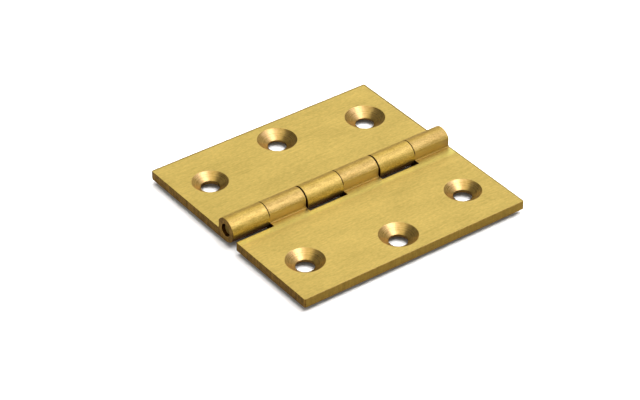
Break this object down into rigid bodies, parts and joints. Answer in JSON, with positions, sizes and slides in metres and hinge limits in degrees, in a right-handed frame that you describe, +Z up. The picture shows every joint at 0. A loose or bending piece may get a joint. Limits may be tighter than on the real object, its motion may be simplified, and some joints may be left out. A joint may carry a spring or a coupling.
{
  "type": "butt hinge",
  "caption": "Solid brass butt hinge: flat leaves with countersunk screw holes and interleaved knuckles on a pin.",
  "frame": {"origin": "on the back plane of the open leaves, halfway along the pin and straight under its axis", "axes": "+X across the right leaf, +Y along the pin away from its visible end, +Z up from the backs of the leaves"},
  "size_m": [0.062, 0.0636, 0.0062],
  "materials": {
    "left_leaf": "satin, fine linished grain along the pin",
    "right_leaf": "satin, fine linished grain along the pin",
    "hinge_pin": "drawn wire, slightly dulled"
  },
  "bodies": {
    "fixed_leaf": {"left_leaf": "left_leaf", "hinge_pin": "hinge_pin"},
    "swinging_leaf": {"right_leaf": "right_leaf"}
  },
  "joints": [
    {"name": "leaf_swing", "type": "hinge", "parent": "fixed_leaf", "child": "swinging_leaf", "pos_m": [0, 0, 0.0031], "axis": [0, -1, 0], "range_deg": [-105, 182]}
  ]
}
